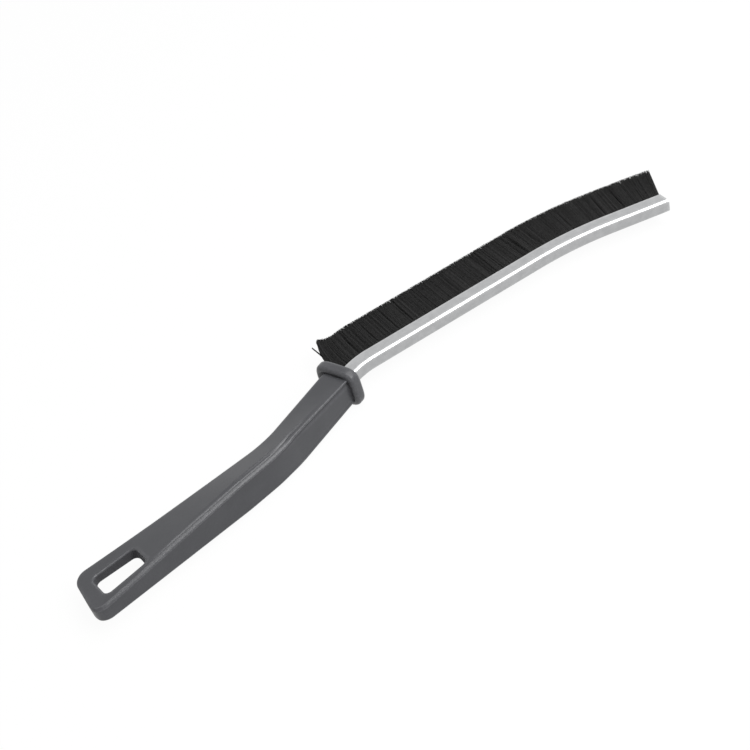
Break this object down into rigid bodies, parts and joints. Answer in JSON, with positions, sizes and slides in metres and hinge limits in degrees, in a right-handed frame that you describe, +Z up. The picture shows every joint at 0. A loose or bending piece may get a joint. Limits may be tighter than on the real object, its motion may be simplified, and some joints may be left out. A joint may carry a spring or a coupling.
{
  "type": "crevice brush",
  "caption": "Long narrow crevice brush: a black bristle strip in a gently bent metal channel, on a plastic handle with a guard collar and a hanging slot.",
  "frame": {"origin": "middle of the outline's box, on the lowest face of the guard collar; the brush lies on its side", "axes": "+X along the straight stretch of the head towards the tip, +Y towards the bristle tips, +Z up through the thickness"},
  "size_m": [0.2854, 0.0664, 0.0172],
  "materials": {
    "handle_plastic": "dark grey moulded polypropylene, satin",
    "channel_metal": "bright rolled strip, folded",
    "wire_metal": "drawn wire",
    "filament": "black nylon filament, dull"
  },
  "bodies": {
    "root": {"handle": "handle_plastic", "channel": "channel_metal", "core_wire": "wire_metal", "bristles_1": "filament", "bristles_2": "filament", "bristles_3": "filament", "bristles_4": "filament", "bristles_5": "filament", "bristles_6": "filament", "bristles_7": "filament"}
  },
  "joints": []
}
